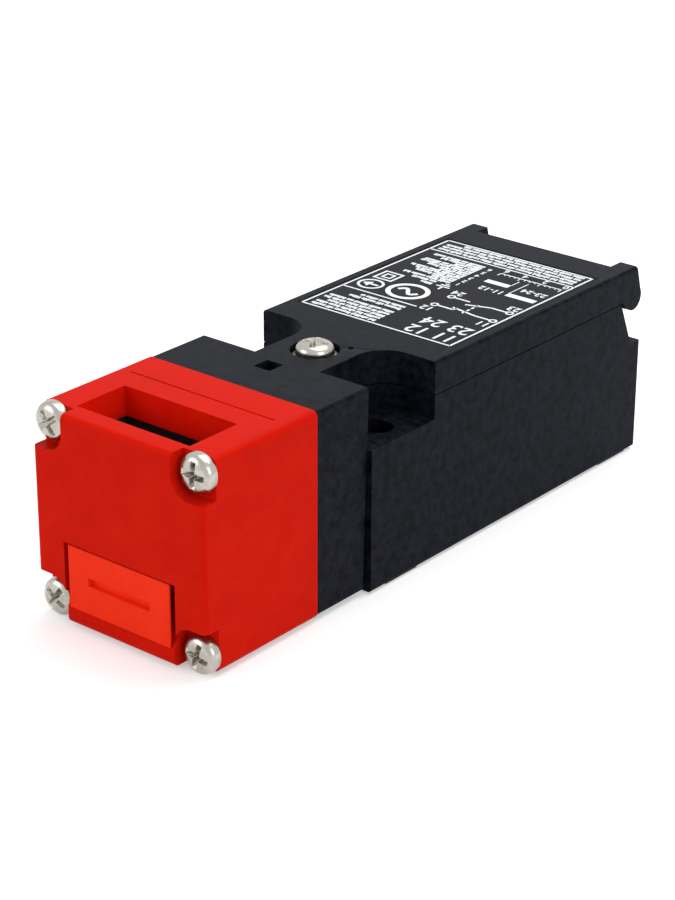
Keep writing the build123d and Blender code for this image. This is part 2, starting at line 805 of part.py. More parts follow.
def make_terminal_screws():
    """Four terminal screws with their clamps."""
    seat = base_top - pad_drop + strip_thickness
    return [Pos(x, y, seat) * clamp_screw() for x, y in terminal_places()]


def make_block_screws():
    """Two screws that hold the contact block on the case's posts."""
    length = base_top - chamber_floor - block_screw_lift
    screw = slotted_screw(block_screw_radius, terminal_height, block_screw_core, length)
    return [Pos(side * terminal_reach, block_screw_station, base_top) * screw for side in (-1, 1)]


def make_head_screws():
    """Four long screws through the head's corners into the case."""
    screw = pan_screw(head_screw_core, head_screw_length)
    return [Pos(x, screw_seat, z) * Rot(90, 0, 0) * screw for x, z, upper in screw_corners()]


def make_earth_plate():
    """Earth terminal plate on its boss."""
    seat = chamber_floor + earth_boss_height
    half = earth_plate_size / 2
    plate = block(-earth_reach - half, -earth_reach + half, earth_station - half, earth_station + half,
                  seat, seat + strip_thickness)
    return plate - rod("z", terminal_core + 0.2, seat, seat + strip_thickness, -earth_reach, earth_station)


def make_earth_screw():
    """Screw of the earth terminal."""
    seat = chamber_floor + earth_boss_height + strip_thickness
    return Pos(-earth_reach, earth_station, seat) * clamp_screw()


def make_cover_screw():
    """Cover screw, above its captive washer."""
    length = cover_screw_seat - cover_screw_tip
    screw = pan_screw(cover_screw_core, length)
    return Pos(0, cover_screw_station, cover_screw_seat) * screw


def make_cover_washer():
    """Captive washer in the tongue's counterbore."""
    span = (washer_seat, cover_screw_seat, 0, cover_screw_station)
    return rod("z", washer_radius, *span) - rod("z", cover_screw_core + run_gap, *span)


def node(shapes):
    """One node from a shape or a list of separate solids."""
    if isinstance(shapes, list):
        return Compound(children=[s for shape in shapes for s in shape.solids()])
    return shapes


flange, chamber, conduit_end = make_case_spans()
nodes = {
    "case_flange": flange,
    "case": chamber,
    "case_end": conduit_end,
    "cover": make_cover(),
    "cover_gasket": seal_ring(),
    "label_plate": make_label(),
    "cover_screw": make_cover_screw(),
    "cover_screw_washer": make_cover_washer(),
    "head_housing": make_head(),
    "key_guides": make_key_guides(),
    "key_hole_plug": make_plug(),
    "head_screws": make_head_screws(),
    "head_gasket": make_gasket(),
    "cam_frame": make_cam_frame(),
    "cam": make_cam(),
    "cam_axle": make_cam_axle(),
    "plunger_bush": make_bush(),
    "plunger": make_plunger(),
    "contact_base": make_contact_base(),
    "contact_lid": make_lid(),
    "contact_slider": make_slider(),
    "slider_spring": make_slider_spring(),
    "nc_bridge": make_bridge(True),
    "no_bridge": make_bridge(False),
    "nc_bridge_spring": make_leaf_spring(True),
    "no_bridge_spring": make_leaf_spring(False),
    "nc_fixed_contacts": make_fixed_contacts(True),
    "no_fixed_contacts": make_fixed_contacts(False),
    "terminal_screws": make_terminal_screws(),
    "block_screws": make_block_screws(),
    "earth_plate": make_earth_plate(),
    "earth_screw": make_earth_screw(),
}

os.makedirs("parts", exist_ok=True)
for name, shape in nodes.items():
    export_step(node(shape), "parts/" + name + ".step")
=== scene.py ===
from math import cos, pi, radians, sin

import bmesh
import bpy
from mathutils import Matrix, Vector


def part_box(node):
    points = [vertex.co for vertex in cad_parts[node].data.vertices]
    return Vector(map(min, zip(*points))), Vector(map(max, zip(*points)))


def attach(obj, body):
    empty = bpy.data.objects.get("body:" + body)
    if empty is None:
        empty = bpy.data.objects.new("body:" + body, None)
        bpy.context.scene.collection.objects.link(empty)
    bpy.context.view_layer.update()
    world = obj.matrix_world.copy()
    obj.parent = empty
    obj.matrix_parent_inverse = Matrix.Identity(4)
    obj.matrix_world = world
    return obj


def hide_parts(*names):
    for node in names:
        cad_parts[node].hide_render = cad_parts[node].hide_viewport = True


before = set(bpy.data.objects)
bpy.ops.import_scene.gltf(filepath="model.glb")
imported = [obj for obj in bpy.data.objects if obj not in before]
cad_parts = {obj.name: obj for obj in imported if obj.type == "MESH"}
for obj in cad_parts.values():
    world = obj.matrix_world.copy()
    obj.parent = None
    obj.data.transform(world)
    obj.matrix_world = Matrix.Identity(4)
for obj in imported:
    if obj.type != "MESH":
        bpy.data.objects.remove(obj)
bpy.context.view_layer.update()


# Case. One injection moulding in black glass-filled plastic: the head block, the flange
# with its two screw pockets, the contact chamber and the conduit end. Its edges leave the
# mould slightly round, and its faces carry a fine spark-eroded grain with flow marks.
MM = 0.001
case_edge = 0.16 * MM
case_solids = ["case_flange", "case", "case_end"]


def in_scene(name, data):
    """A new object of the scene, at the origin."""
    made = bpy.data.objects.new(name, data)
    bpy.context.scene.collection.objects.link(made)
    return made


def finished(piece):
    """The piece with its modifiers worked into its mesh, shaded smooth."""
    piece.data.polygons.foreach_set("use_smooth", [True] * len(piece.data.polygons))
    graph = bpy.context.evaluated_depsgraph_get()
    mesh = bpy.data.meshes.new_from_object(piece.evaluated_get(graph))
    piece.modifiers.clear()
    piece.data = mesh
    mesh.polygons.foreach_set("use_smooth", [True] * len(mesh.polygons))
    return piece


def merged(mesh, distance):
    """Merges a mesh's doubled points and cuts each of its flat faces into triangles anew."""
    work = bmesh.new()
    work.from_mesh(mesh)
    bmesh.ops.remove_doubles(work, verts=work.verts, dist=distance)
    bmesh.ops.dissolve_limit(work, angle_limit=radians(0.3), verts=work.verts, edges=work.edges)
    bmesh.ops.triangulate(work, faces=work.faces, quad_method="BEAUTY", ngon_method="BEAUTY")
    work.to_mesh(mesh)
    work.free()


def moulded_copy(name, nodes, edge):
    """A copy of one or more solids as one moulding, with its edges rounded by the mould."""
    parts = []
    for node in nodes:
        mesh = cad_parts[node].data.copy()
        merged(mesh, 0.001 * MM)
        mesh.materials.clear()
        parts.append(in_scene(name, mesh))
    piece, others = parts[0], parts[1:]
    for part in others:
        weld = piece.modifiers.new("weld", "BOOLEAN")
        weld.operation = "UNION"
        weld.solver = "EXACT"
        weld.object = part
    if others:
        finished(piece)
        for part in others:
            bpy.data.objects.remove(part)
        merged(piece.data, 0.002 * MM)
    rounding = piece.modifiers.new("rounding", "BEVEL")
    rounding.width = edge
    rounding.segments = 3
    rounding.limit_method = "ANGLE"
    rounding.angle_limit = radians(33)
    rounding.use_clamp_overlap = True
    rounding.miter_outer = "MITER_ARC"
    level = piece.modifiers.new("flat_faces", "WEIGHTED_NORMAL")
    level.mode = "FACE_AREA"
    level.weight = 80
    level.keep_sharp = True
    return finished(piece)


def new_material(name):
    """A node material with its nodes, its links and its shader."""
    material = bpy.data.materials.new(name)
    material.use_nodes = True
    tree = material.node_tree
    return material, tree.nodes, tree.links, tree.nodes["Principled BSDF"]


def noise(nodes, links, place, scale, detail, rough=0.55):
    """A noise pattern on the object's own coordinates."""
    pattern = nodes.new("ShaderNodeTexNoise")
    pattern.inputs["Scale"].default_value = scale
    pattern.inputs["Detail"].default_value = detail
    pattern.inputs["Roughness"].default_value = rough
    links.new(place.outputs["Object"], pattern.inputs["Vector"])
    return pattern


def between(nodes, links, source, low, high, start=0.3, end=0.7):
    """A pattern's value stretched to run from one number to another."""
    span = nodes.new("ShaderNodeMapRange")
    span.inputs["From Min"].default_value = start
    span.inputs["From Max"].default_value = end
    span.inputs["To Min"].default_value = low
    span.inputs["To Max"].default_value = high
    links.new(source.outputs["Fac"], span.inputs["Value"])
    return span.outputs["Result"]


def moulded_plastic(name, dark, light, roughness, sheen, grain=0.12, dents=0.0, flow=190.0):
    """Moulded plastic: cloudy flow marks, uneven gloss, a fine grain and soft sink marks."""
    material, nodes, links, shader = new_material(name)
    place = nodes.new("ShaderNodeTexCoord")
    clouds = noise(nodes, links, place, flow, 8.0, 0.68)
    tint = nodes.new("ShaderNodeValToRGB")
    tint.color_ramp.elements[0].position = 0.34
    tint.color_ramp.elements[0].color = (*dark, 1.0)
    tint.color_ramp.elements[1].position = 0.70
    tint.color_ramp.elements[1].color = (*light, 1.0)
    links.new(clouds.outputs["Fac"], tint.inputs["Fac"])
    links.new(tint.outputs["Color"], shader.inputs["Base Color"])
    gloss = between(nodes, links, clouds, roughness - 0.07, roughness + 0.07)
    links.new(gloss, shader.inputs["Roughness"])
    shader.inputs["Specular IOR Level"].default_value = sheen
    skin = noise(nodes, links, place, 4200.0, 3.0)
    fine = nodes.new("ShaderNodeBump")
    fine.inputs["Strength"].default_value = grain
    fine.inputs["Distance"].default_value = 0.00004
    links.new(skin.outputs["Fac"], fine.inputs["Height"])
    if dents:
        sink = noise(nodes, links, place, 70.0, 2.0)
        broad = nodes.new("ShaderNodeBump")
        broad.inputs["Strength"].default_value = dents
        broad.inputs["Distance"].default_value = 0.0006
        links.new(sink.outputs["Fac"], broad.inputs["Height"])
        links.new(broad.outputs["Normal"], fine.inputs["Normal"])
    links.new(fine.outputs["Normal"], shader.inputs["Normal"])
    return material


case_black = moulded_plastic(
    "case_black", (0.0012, 0.0015, 0.0034), (0.0135, 0.0154, 0.0236), 0.34, 0.03,
    grain=0.70, dents=0.22, flow=700.0)
case = moulded_copy("moulded_case", case_solids, case_edge)
case.data.materials.append(case_black)
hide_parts(*case_solids)
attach(case, "housing")


# Earth terminal. A brass plate on a boss in the wiring space, with a zinc-plated slotted
# screw and its square clamp. Stamped and turned metal, with fine scratches in the plating.
def worked_metal(name, colour, roughness, scratches=900.0, depth=0.06):
    """Stamped or turned metal, with duller patches and fine scratches."""
    material, nodes, links, shader = new_material(name)
    shader.inputs["Metallic"].default_value = 1.0
    place = nodes.new("ShaderNodeTexCoord")
    patches = noise(nodes, links, place, scratches, 8.0)
    tint = nodes.new("ShaderNodeValToRGB")
    tint.color_ramp.elements[0].position = 0.3
    tint.color_ramp.elements[0].color = (*[channel * 0.74 for channel in colour], 1.0)
    tint.color_ramp.elements[1].position = 0.62
    tint.color_ramp.elements[1].color = (*colour, 1.0)
    links.new(patches.outputs["Fac"], tint.inputs["Fac"])
    links.new(tint.outputs["Color"], shader.inputs["Base Color"])
    dull = between(nodes, links, patches, roughness + 0.12, roughness - 0.06)
    links.new(dull, shader.inputs["Roughness"])
    bump = nodes.new("ShaderNodeBump")
    bump.inputs["Strength"].default_value = depth
    bump.inputs["Distance"].default_value = 0.00003
    links.new(patches.outputs["Fac"], bump.inputs["Height"])
    links.new(bump.outputs["Normal"], shader.inputs["Normal"])
    return material


def finish(material, *names):
    """Gives solids that keep their own shape their finish."""
    for name in names:
        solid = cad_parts[name]
        for slot in solid.material_slots:
            slot.material = material


contact_brass = worked_metal("contact_brass", (0.72, 0.50, 0.22), 0.30)
zinc_plate = worked_metal("zinc_plate", (0.60, 0.60, 0.57), 0.30)
finish(contact_brass, "earth_plate")
finish(zinc_plate, "earth_screw")


# Contact block. A dark thermoset base, screwed down on two posts, holds a pale slider with
# two brass bridges on bowed leaf springs, the fixed contacts with their clamp screws, and
# the return spring. A lid closes the slider's channel.
base_grey = moulded_plastic("base_grey", (0.022, 0.023, 0.026), (0.034, 0.035, 0.040), 0.40, 0.35)
slider_ivory = moulded_plastic("slider_ivory", (0.58, 0.56, 0.50), (0.68, 0.66, 0.60), 0.36, 0.4, grain=0.05)
spring_steel = worked_metal("spring_steel", (0.46, 0.46, 0.47), 0.28)
finish(base_grey, "contact_base", "contact_lid")
finish(slider_ivory, "contact_slider")
finish(contact_brass, "nc_bridge", "no_bridge", "nc_fixed_contacts", "no_fixed_contacts")
finish(spring_steel, "slider_spring", "nc_bridge_spring", "no_bridge_spring")
finish(zinc_plate, "terminal_screws", "block_screws")


# Plunger line. A ground steel plunger runs in an ivory bush behind the cam and pushes the
# slider. A rubber sheet seals the bush between head and case.
pin_steel = worked_metal("pin_steel", (0.55, 0.55, 0.56), 0.22)
seal_rubber = moulded_plastic(
    "seal_rubber", (0.010, 0.010, 0.010), (0.018, 0.018, 0.018), 0.66, 0.2, grain=0.2)
finish(slider_ivory, "plunger_bush")
finish(pin_steel, "plunger")
finish(seal_rubber, "head_gasket")


# Cam. A black moulded rotor with two teeth for the key turns on a steel pin between the
# cheeks of its frame, which snaps into the rear of the head.
cam_black = moulded_plastic("cam_black", (0.008, 0.008, 0.009), (0.014, 0.014, 0.015), 0.38, 0.3, grain=0.05)
finish(cam_black, "cam", "cam_frame", "key_guides")
finish(pin_steel, "cam_axle")


# Head. A square box moulded in signal red, with a funnel and slot for the key in its top
# and in its front, and four notched corners for its screws. The slots run in black guides.
head_red = moulded_plastic(
    "head_red", (0.575, 0.0070, 0.0012), (0.640, 0.0105, 0.0022), 0.36, 0.02, grain=0.10, dents=0.06)
head_edge = 0.34 * MM
head = moulded_copy("head_moulding", ["head_housing"], head_edge)
head.data.materials.append(head_red)
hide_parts("head_housing")
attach(head, "housing")


# Plug of the front key entry. A brighter red face with a coin slot, on a narrow wedge that
# is pressed into the funnel that the key doesn't use.
plug_red = moulded_plastic(
    "plug_red", (0.88, 0.030, 0.008), (0.95, 0.040, 0.012), 0.40, 0.02, grain=0.10, dents=0.05)
plug_edge = 0.10 * MM
wedge_reach = 6.3 * MM
face_skin = 0.70 * MM  # taken off the back of the face where it stands out beside the wedge
plug = moulded_copy("plug_moulding", ["key_hole_plug"], plug_edge)
plug_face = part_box("key_hole_plug")[0].y
for vert in plug.data.vertices:
    if abs(vert.co.x) > wedge_reach and vert.co.y - plug_face > face_skin:
        vert.co.y -= face_skin
plug.data.materials.append(plug_red)
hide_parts("key_hole_plug")
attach(plug, "plug")


# Head screws. Four nickel-plated steel pan-head screws with a cross recess, cold headed,
# that clamp the head to the case. One screw is made and set at the head's four corners.
head_screw_reach = 12.7 * MM
head_screw_length = 25.0 * MM
head_screw_core = 1.25 * MM
pan_radius = 2.7 * MM
pan_height = 2.0 * MM


def turned(name, profile):
    """A shape turned about Z, from a profile of radii and heights."""
    work = bmesh.new()
    last = None
    for radius, height in profile:
        vert = work.verts.new((radius, 0.0, height))
        if last is not None:
            work.edges.new((last, vert))
        last = vert
    bmesh.ops.spin(
        work, geom=work.verts[:] + work.edges[:], cent=(0, 0, 0), axis=(0, 0, 1),
        angle=2 * pi, steps=48, use_merge=True)
    bmesh.ops.remove_doubles(work, verts=work.verts, dist=0.0001 * MM)
    bmesh.ops.recalc_face_normals(work, faces=work.faces)
    mesh = bpy.data.meshes.new(name)
    work.to_mesh(mesh)
    work.free()
    return in_scene(name, mesh)


def recess_bar(name, angle):
    """The tapered punch for two opposite arms of the cross recess, turned by an angle about Z."""
    arm, half_width = 0.78 * pan_radius, 0.165 * pan_radius
    depth = 0.72 * pan_height
    above = (pan_height * 1.25, arm * 1.10, half_width * 1.1)
    floor_of_recess = (pan_height - depth, 0.36 * pan_radius, 0.09 * pan_radius)
    work = bmesh.new()
    rings = []
    for height, reach, wide in (above, floor_of_recess):
        ring = []
        for x, y in ((-reach, -wide), (reach, -wide), (reach, wide), (-reach, wide)):
            place = (x * cos(angle) - y * sin(angle), x * sin(angle) + y * cos(angle), height)
            ring.append(work.verts.new(place))
        rings.append(ring)
    high, low = rings
    work.faces.new(high)
    work.faces.new(low[::-1])
    for i in range(4):
        j = (i + 1) % 4
        work.faces.new((high[j], high[i], low[i], low[j]))
    bmesh.ops.recalc_face_normals(work, faces=work.faces)
    mesh = bpy.data.meshes.new(name)
    work.to_mesh(mesh)
    work.free()
    return in_scene(name, mesh)


def pan_head_screw(name, core, length):
    """A pan-head screw along Z with its seat at Z = 0: domed head, cross recess and shank."""
    profile = [(0.0, -length), (core * 0.7, -length), (core, -length + core * 0.5), (core, 0.0)]
    dome = ((0.965, 0.0), (1.0, 0.06), (1.0, 0.40), (0.985, 0.54), (0.94, 0.68), (0.86, 0.80),
            (0.74, 0.89), (0.58, 0.955), (0.36, 0.99), (0.0, 1.0))
    profile += [(pan_radius * share, pan_height * level) for share, level in dome]
    screw = turned(name, profile)
    punches = [recess_bar(name + "_punch", angle) for angle in (0.0, pi / 2)]
    for punch in punches:
        cut = screw.modifiers.new("recess", "BOOLEAN")
        cut.operation = "DIFFERENCE"
        cut.solver = "EXACT"
        cut.object = punch
    soft = screw.modifiers.new("rounding", "BEVEL")
    soft.width = 0.05 * MM
    soft.segments = 2
    soft.limit_method = "ANGLE"
    soft.angle_limit = radians(38)
    level = screw.modifiers.new("even_shading", "WEIGHTED_NORMAL")
    level.mode = "FACE_AREA"
    level.weight = 50
    finished(screw)
    for punch in punches:
        bpy.data.objects.remove(punch)
    return screw


nickel = worked_metal("nickel_plate", (0.50, 0.48, 0.43), 0.24, 700.0, 0.02)
screws_low, screws_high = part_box("head_screws")
one_screw = pan_head_screw("one_head_screw", head_screw_core, head_screw_length)

# The tree sets the screw on the corners of a square, each copy turned by an angle of its own,
# then stands the square up against the head's front.
corners = bpy.data.node_groups.new("screw_corners", "GeometryNodeTree")
for label, kind in (("Points", "NodeSocketGeometry"), ("Screw", "NodeSocketObject"),
                    ("Reach", "NodeSocketFloat"), ("Middle Height", "NodeSocketFloat"),
                    ("Seat", "NodeSocketFloat"), ("Seed", "NodeSocketInt"), ("Finish", "NodeSocketMaterial")):
    corners.interface.new_socket(label, in_out="INPUT", socket_type=kind)
corners.interface.new_socket("Screws", in_out="OUTPUT", socket_type="NodeSocketGeometry")
take = corners.nodes.new("NodeGroupInput")
give = corners.nodes.new("NodeGroupOutput")
double = corners.nodes.new("ShaderNodeMath")
double.operation = "MULTIPLY"
double.inputs[1].default_value = 2.0
grid = corners.nodes.new("GeometryNodeMeshGrid")
grid.inputs["Vertices X"].default_value = 2
grid.inputs["Vertices Y"].default_value = 2
chosen = corners.nodes.new("GeometryNodeObjectInfo")
spread = corners.nodes.new("FunctionNodeRandomValue")
spread.data_type = "FLOAT"
spread.inputs[2].default_value = 0.0
spread.inputs[3].default_value = pi / 2
facing = corners.nodes.new("ShaderNodeCombineXYZ")
placed = corners.nodes.new("GeometryNodeInstanceOnPoints")
shift = corners.nodes.new("ShaderNodeCombineXYZ")
forward = corners.nodes.new("ShaderNodeMath")
forward.operation = "MULTIPLY"
forward.inputs[1].default_value = -1.0
stand = corners.nodes.new("GeometryNodeTransform")
tip_over = corners.nodes.new("GeometryNodeTransform")
tip_over.inputs["Rotation"].default_value = (pi / 2, 0.0, 0.0)
whole = corners.nodes.new("GeometryNodeRealizeInstances")
coat = corners.nodes.new("GeometryNodeSetMaterial")
wires = [
    (take.outputs["Reach"], double.inputs[0]),
    (double.outputs[0], grid.inputs["Size X"]),
    (double.outputs[0], grid.inputs["Size Y"]),
    (grid.outputs["Mesh"], placed.inputs["Points"]),
    (take.outputs["Screw"], chosen.inputs["Object"]),
    (chosen.outputs["Geometry"], placed.inputs["Instance"]),
    (take.outputs["Seed"], spread.inputs["Seed"]),
    (spread.outputs[1], facing.inputs["Z"]),
    (facing.outputs[0], placed.inputs["Rotation"]),
    (placed.outputs["Instances"], stand.inputs["Geometry"]),
    (take.outputs["Middle Height"], shift.inputs["Y"]),
    (take.outputs["Seat"], forward.inputs[0]),
    (forward.outputs[0], shift.inputs["Z"]),
    (shift.outputs[0], stand.inputs["Translation"]),
    (stand.outputs["Geometry"], tip_over.inputs["Geometry"]),
    (tip_over.outputs["Geometry"], whole.inputs["Geometry"]),
    (whole.outputs["Geometry"], coat.inputs["Geometry"]),
    (take.outputs["Finish"], coat.inputs["Material"]),
    (coat.outputs["Geometry"], give.inputs["Screws"]),
]
for source, target in wires:
    corners.links.new(source, target)
head_screws = in_scene("head_screw_set", bpy.data.meshes.new("head_screw_set"))
layout = head_screws.modifiers.new("corners", "NODES")
layout.node_group = corners
socket = {item.name: item.identifier for item in corners.interface.items_tree if item.in_out == "INPUT"}
layout[socket["Screw"]] = one_screw
layout[socket["Reach"]] = head_screw_reach
layout[socket["Middle Height"]] = (screws_low.z + screws_high.z) / 2
layout[socket["Seat"]] = screws_low.y + pan_height
layout[socket["Seed"]] = 11
layout[socket["Finish"]] = nickel
finished(head_screws)
bpy.data.objects.remove(one_screw)
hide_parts("head_screws")
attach(head_screws, "housing")


# Cover. A black moulded lid with a tongue for its captive screw at the front and two hinge
# tabs at the rear. A rubber ring in its underside seals the chamber.
cover = moulded_copy("cover_moulding", ["cover"], case_edge)
washer_low, washer_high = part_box("cover_screw_washer")
washer_middle = (washer_low + washer_high) / 2
seat_reach = (washer_high.x - washer_low.x) / 2 + 0.4 * MM
washer_gap = 0.02 * MM  # keeps the washer and its seat in the tongue from sharing one plane
for vert in cover.data.vertices:
    on_level = abs(vert.co.z - washer_low.z) < 0.001 * MM
    if on_level and (vert.co.xy - washer_middle.xy).length < seat_reach:
        vert.co.z -= washer_gap
cover.data.materials.append(case_black)
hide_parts("cover")
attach(cover, "lid")
finish(seal_rubber, "cover_gasket")


# Cover screw. The same pan head on a shorter shank, with a plain washer that keeps the
# screw captive in the cover's tongue.
screw_low, screw_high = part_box("cover_screw")
screw_x = (screw_low.x + screw_high.x) / 2
screw_y = (screw_low.y + screw_high.y) / 2
cover_screw_core = 1.2 * MM
cover_screw_seat = screw_high.z - pan_height
cover_screw_turn = Matrix.Rotation(radians(24), 4, "Z")
cover_screw = pan_head_screw("turned_cover_screw", cover_screw_core, cover_screw_seat - screw_low.z)
cover_screw.data.transform(
    Matrix.Translation((screw_x, screw_y, cover_screw_seat)) @ cover_screw_turn)
cover_screw.data.materials.append(nickel)
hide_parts("cover_screw")
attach(cover_screw, "screw")
finish(nickel, "cover_screw_washer")


# Rating label. A dark printed film in the cover's recess. Its print is plain: a white frame
# and ruled cells, the two contacts drawn with their terminal numbers, a travel scale and
# common symbols. It reads from the conduit end.
label_black = moulded_plastic(
    "label_black", (0.0020, 0.0026, 0.0042), (0.0045, 0.0055, 0.0085), 0.28, 0.04, grain=0.03, dents=0.04)
finish(label_black, "label_plate")
label_low, label_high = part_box("label_plate")
label_middle = (label_low + label_high) / 2
half_x = (label_high.x - label_low.x) / 2 / MM
half_y = (label_high.y - label_low.y) / 2 / MM
ink_low = label_high.z - 0.010 * MM
ink_high = label_high.z + 0.020 * MM
print_work = bmesh.new()


def on_label(x, y):
    """A place in the reader's view of the label, in millimetres from its middle."""
    return label_middle.x - x * MM, label_middle.y - y * MM


def ink_shape(outline):
    """A filled shape of ink, from its outline."""
    top = [print_work.verts.new((*on_label(x, y), ink_high)) for x, y in outline]
    low = [print_work.verts.new((*on_label(x, y), ink_low)) for x, y in outline]
    print_work.faces.new(top)
    print_work.faces.new(low[::-1])
    for i in range(len(top)):
        j = (i + 1) % len(top)
        print_work.faces.new((top[i], low[i], low[j], top[j]))


def ink_bar(x0, y0, x1, y1):
    """A bar of ink between two corners."""
    ink_shape([(x0, y0), (x1, y0), (x1, y1), (x0, y1)])


def ink_line(points, width, closed=False):
    """A line of ink through points, with mitred joints."""
    path = [Vector(point) for point in points]
    count = len(path)
    rings = []
    for i in range(count):
        before = path[i] - path[i - 1] if i or closed else path[1] - path[0]
        after = path[(i + 1) % count] - path[i] if i < count - 1 or closed else before
        before, after = before.normalized(), after.normalized()
        along = (before + after).normalized()
        side = Vector((-along.y, along.x)) * (width / 2 / max(along.dot(before), 0.35))
        left, right = on_label(*(path[i] + side)), on_label(*(path[i] - side))
        rings.append([print_work.verts.new((*place, height)) for place, height in (
            (left, ink_high), (right, ink_high), (right, ink_low), (left, ink_low))])
    for i in range(count if closed else count - 1):
        here, there = rings[i], rings[(i + 1) % count]
        for j in range(4):
            k = (j + 1) % 4
            print_work.faces.new((here[j], there[j], there[k], here[k]))
    if not closed:
        print_work.faces.new(rings[0][::-1])
        print_work.faces.new(rings[-1])


def ink_ring(x, y, radius, width, squash=1.0, steps=36):
    """A ring of ink, squashed along the label where its share is under 1."""
    loops = []
    for reach, height in ((radius + width / 2, ink_high), (radius - width / 2, ink_high),
                          (radius - width / 2, ink_low), (radius + width / 2, ink_low)):
        loop = []
        for i in range(steps):
            angle = 2 * pi * i / steps
            place = on_label(x + reach * cos(angle), y + reach * squash * sin(angle))
            loop.append(print_work.verts.new((*place, height)))
        loops.append(loop)
    for here, there in zip(loops, loops[1:] + loops[:1]):
        for i in range(steps):
            j = (i + 1) % steps
            print_work.faces.new((here[i], there[i], there[j], here[j]))


def ink_number(text, x, y, height):
    """A number in plain figures, with its lower left corner at a place."""
    lettering = bpy.data.curves.new("figures", "FONT")
    lettering.body = text
    lettering.size = height * MM * 1.38  # the font's figures are 1 / 1.38 of its size
    lettering.extrude = (ink_high - ink_low) / 2
    lettering.offset = 0.03 * MM
    lettering.resolution_u = 4
    holder = in_scene("figures", lettering)
    graph = bpy.context.evaluated_depsgraph_get()
    mesh = bpy.data.meshes.new_from_object(holder.evaluated_get(graph))
    place = Vector((*on_label(x, y), (ink_low + ink_high) / 2))
    mesh.transform(Matrix.Translation(place) @ Matrix.Rotation(pi, 4, "Z"))
    closed = bmesh.new()
    closed.from_mesh(mesh)
    bmesh.ops.remove_doubles(closed, verts=closed.verts, dist=0.0001 * MM)
    closed.to_mesh(mesh)
    closed.free()
    print_work.from_mesh(mesh)
    bpy.data.objects.remove(holder)


def ink_rows(x, y, rows, width, seed):
    """Lines of small print, too small to read: words of short upright bars."""
    pitch, letter, gap, space = 1.02, 0.34, 0.08, 0.28
    low_letter, tall_letter = 0.58, 0.76
    for row in range(rows):
        start, count = x, seed + 13 * row
        while True:
            count += 1
            letters = 2 + count * count * 7 % 11 // 2
            length = letters * (letter + gap) - gap
            if start + length > x + width:
                break
            for i in range(letters):
                left = start + i * (letter + gap)
                foot = y - row * pitch
                height = low_letter if (3 * count + 5 * i * i) % 7 < 4 else tall_letter
                ink_bar(left, foot, left + letter, foot + height)
            start += length + space


# Frame line round the label, with a rule under the terminal numbers and one above the
# last rows of print.
frame_line = 0.30
frame_x, frame_y = half_x - 0.45, half_y - 0.45
for sign in (-1, 1):
    ink_line([(sign * frame_x, -frame_y), (sign * frame_x, frame_y)], frame_line)
    ink_line([(-frame_x, sign * frame_y), (frame_x, sign * frame_y)], frame_line)
ink_line([(-frame_x, -12.6), (frame_x, -12.6)], frame_line)
ink_line([(-0.4, 8.2), (frame_x, 8.2)], frame_line)

# Terminal numbers in large figures at the head's end, with small print beside them.
left_column, right_column = -12.6, 0.6
for text, y in (("11 12", 14.0), ("23 24", 10.4)):
    ink_number(text, left_column, y, 2.7)
ink_rows(right_column, 16.0, 5, 12.2, 3)
ink_rows(right_column, 10.3, 2, 9.5, 5)

# Contact diagram: each contact between its two terminals, joined by the slider's dashed line.
left_terminal, right_terminal, terminal_gap = -12.2, -1.9, 0.6
left_lead, right_lead = -9.0, -5.2
lead_line = 0.36
for level, opens in ((5.9, True), (1.9, False)):
    for terminal in (left_terminal, right_terminal):
        ink_ring(terminal, level, 0.5, 0.30)
    ink_line([(left_terminal + terminal_gap, level), (left_lead, level)], lead_line)
    ink_line([(right_lead, level), (right_terminal - terminal_gap, level)], lead_line)
    if opens:
        ink_line([(right_lead, level), (right_lead, level - 0.9)], lead_line)
        ink_line([(left_lead, level), (right_lead + 0.6, level - 0.75)], lead_line)
    else:
        ink_line([(left_lead, level), (right_lead - 0.1, level + 1.3)], lead_line)
slider_line, dash_length, dash_pitch = -7.0, 0.7, 1.1
for dash in range(4):
    top = 6.2 - dash * dash_pitch
    ink_bar(slider_line - 0.15, top - dash_length, slider_line + 0.15, top)
for text, x, y in (("11", -12.8, 7.0), ("12", -2.9, 7.0), ("23", -12.8, -0.5), ("24", -2.9, -0.5)):
    ink_number(text, x, y, 1.55)

# Travel scale: the span in which each contact is closed, over a ruled line with figures.
scale_start, scale_level, step_length, steps = -12.4, -10.6, 0.9, 12
scale_end = scale_start + steps * step_length
ink_line([(scale_start, scale_level), (scale_end, scale_level)], 0.24)
for step in range(steps + 1):
    tick = 0.95 if step % 4 == 0 else 0.5
    x = scale_start + step * step_length
    ink_line([(x, scale_level), (x, scale_level + tick)], 0.18)
for text, x in (("0", -12.8), ("2", -9.2), ("4", -5.6), ("6", -2.2)):
    ink_number(text, x, -12.3, 1.2)
for text, text_x, foot, start, end, switching in (
        ("11-12", -6.8, -4.6, scale_start, -7.4, -7.4),
        ("23-24", -12.4, -7.4, -5.8, scale_end, -5.8)):
    ink_bar(start, foot, end, foot + 1.2)
    ink_line([(switching, foot), (switching, scale_level + 1.2)], 0.16)
    ink_number(text, text_x, foot, 1.35)

